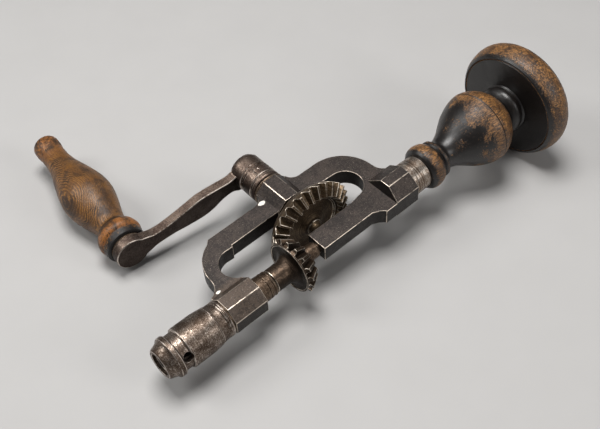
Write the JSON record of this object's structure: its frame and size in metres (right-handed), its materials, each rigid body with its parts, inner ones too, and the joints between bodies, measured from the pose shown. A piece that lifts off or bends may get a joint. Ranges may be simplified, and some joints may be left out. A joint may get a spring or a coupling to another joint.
{
  "type": "hand drill",
  "caption": "Antique hand drill: open steel frame, bevel gears turned by a side crank, three-jaw chuck and a turned palm head.",
  "frame": {"origin": "centre of the chuck's mouth, on the spindle axis at the nose's front face", "axes": "+X along the spindle from the chuck towards the palm head, +Y along the crank axle outwards to the crank, +Z square to the flat frame plate"},
  "size_m": [0.2471, 0.1874, 0.062],
  "materials": {
    "frame_steel": "dark oxidised steel with bright worn edges",
    "worn_steel": "worn brown-grey steel",
    "gear_steel": "oiled brown steel, bright on the tooth edges",
    "chuck_steel": "pitted brown-grey steel, worn bright",
    "jaw_steel": "hardened steel",
    "arm_steel": "pitted brown steel",
    "ferrule_steel": "bright steel with brown pitting",
    "grip_wood": "oiled hardwood, worn",
    "stem_wood": "ebonised hardwood worn through to brown",
    "head_wood": "ebonised hardwood worn brown at the rim"
  },
  "bodies": {
    "frame": {"frame": "frame_steel", "boss_washer": "worn_steel", "front_washer": "worn_steel", "ferrule": "ferrule_steel", "tang": "worn_steel", "handle_stem": "stem_wood", "palm_head": "head_wood"},
    "spindle": {"spindle": "worn_steel", "thrust_collar": "worn_steel", "pinion": "gear_steel", "pinion_pin": "worn_steel", "chuck_body": "chuck_steel"},
    "shell": {"chuck_shell": "chuck_steel"},
    "pusher": {"jaw_ring": "chuck_steel"},
    "jaw_a": {"jaw_a": "jaw_steel"},
    "jaw_b": {"jaw_b": "jaw_steel"},
    "jaw_c": {"jaw_c": "jaw_steel"},
    "crank": {"crank_axle": "worn_steel", "drive_gear": "gear_steel", "gear_key": "worn_steel", "gear_nut": "gear_steel", "crank_arm": "arm_steel", "crank_pin": "worn_steel", "grip_stud": "worn_steel", "grip_washer": "worn_steel", "grip_screw": "worn_steel"},
    "grip": {"grip": "grip_wood"}
  },
  "joints": [
    {"name": "crank_turn", "type": "hinge", "parent": "frame", "child": "crank", "pos_m": [0.0989, 0.033, 0], "axis": [0, 1, 0], "continuous": true},
    {"name": "spindle_turn", "type": "hinge", "parent": "frame", "child": "spindle", "pos_m": [0.0449, 0, 0], "axis": [1, 0, 0], "continuous": true},
    {"name": "grip_spin", "type": "hinge", "parent": "crank", "child": "grip", "pos_m": [0.03419, 0.1131, -0.00835], "axis": [0.0864, 0.9962, 0.0111], "continuous": true},
    {"name": "shell_turn", "type": "hinge", "parent": "spindle", "child": "shell", "pos_m": [0.0209, 0, 0], "axis": [1, 0, 0], "range_deg": [0, 720]},
    {"name": "jaw_ring_slide", "type": "slide", "parent": "spindle", "child": "pusher", "axis": [-1, 0, 0], "range_m": [0, 0.006]},
    {"name": "jaw_a_slide", "type": "slide", "parent": "spindle", "child": "jaw_a", "axis": [-0.9781, 0, -0.2079], "range_m": [0, 0.00613]},
    {"name": "jaw_b_slide", "type": "slide", "parent": "spindle", "child": "jaw_b", "axis": [-0.9781, 0.1801, 0.104], "range_m": [0, 0.00613]},
    {"name": "jaw_c_slide", "type": "slide", "parent": "spindle", "child": "jaw_c", "axis": [-0.9781, -0.1801, 0.104], "range_m": [0, 0.00613]}
  ],
  "couplings": [
    {"joint": "spindle_turn", "follows": "crank_turn", "ratio": 1.75},
    {"joint": "jaw_ring_slide", "follows": "shell_turn", "m_per_rad": 0.00047746},
    {"joint": "jaw_a_slide", "follows": "shell_turn", "m_per_rad": 0.00048813},
    {"joint": "jaw_b_slide", "follows": "shell_turn", "m_per_rad": 0.00048813},
    {"joint": "jaw_c_slide", "follows": "shell_turn", "m_per_rad": 0.00048813}
  ]
}
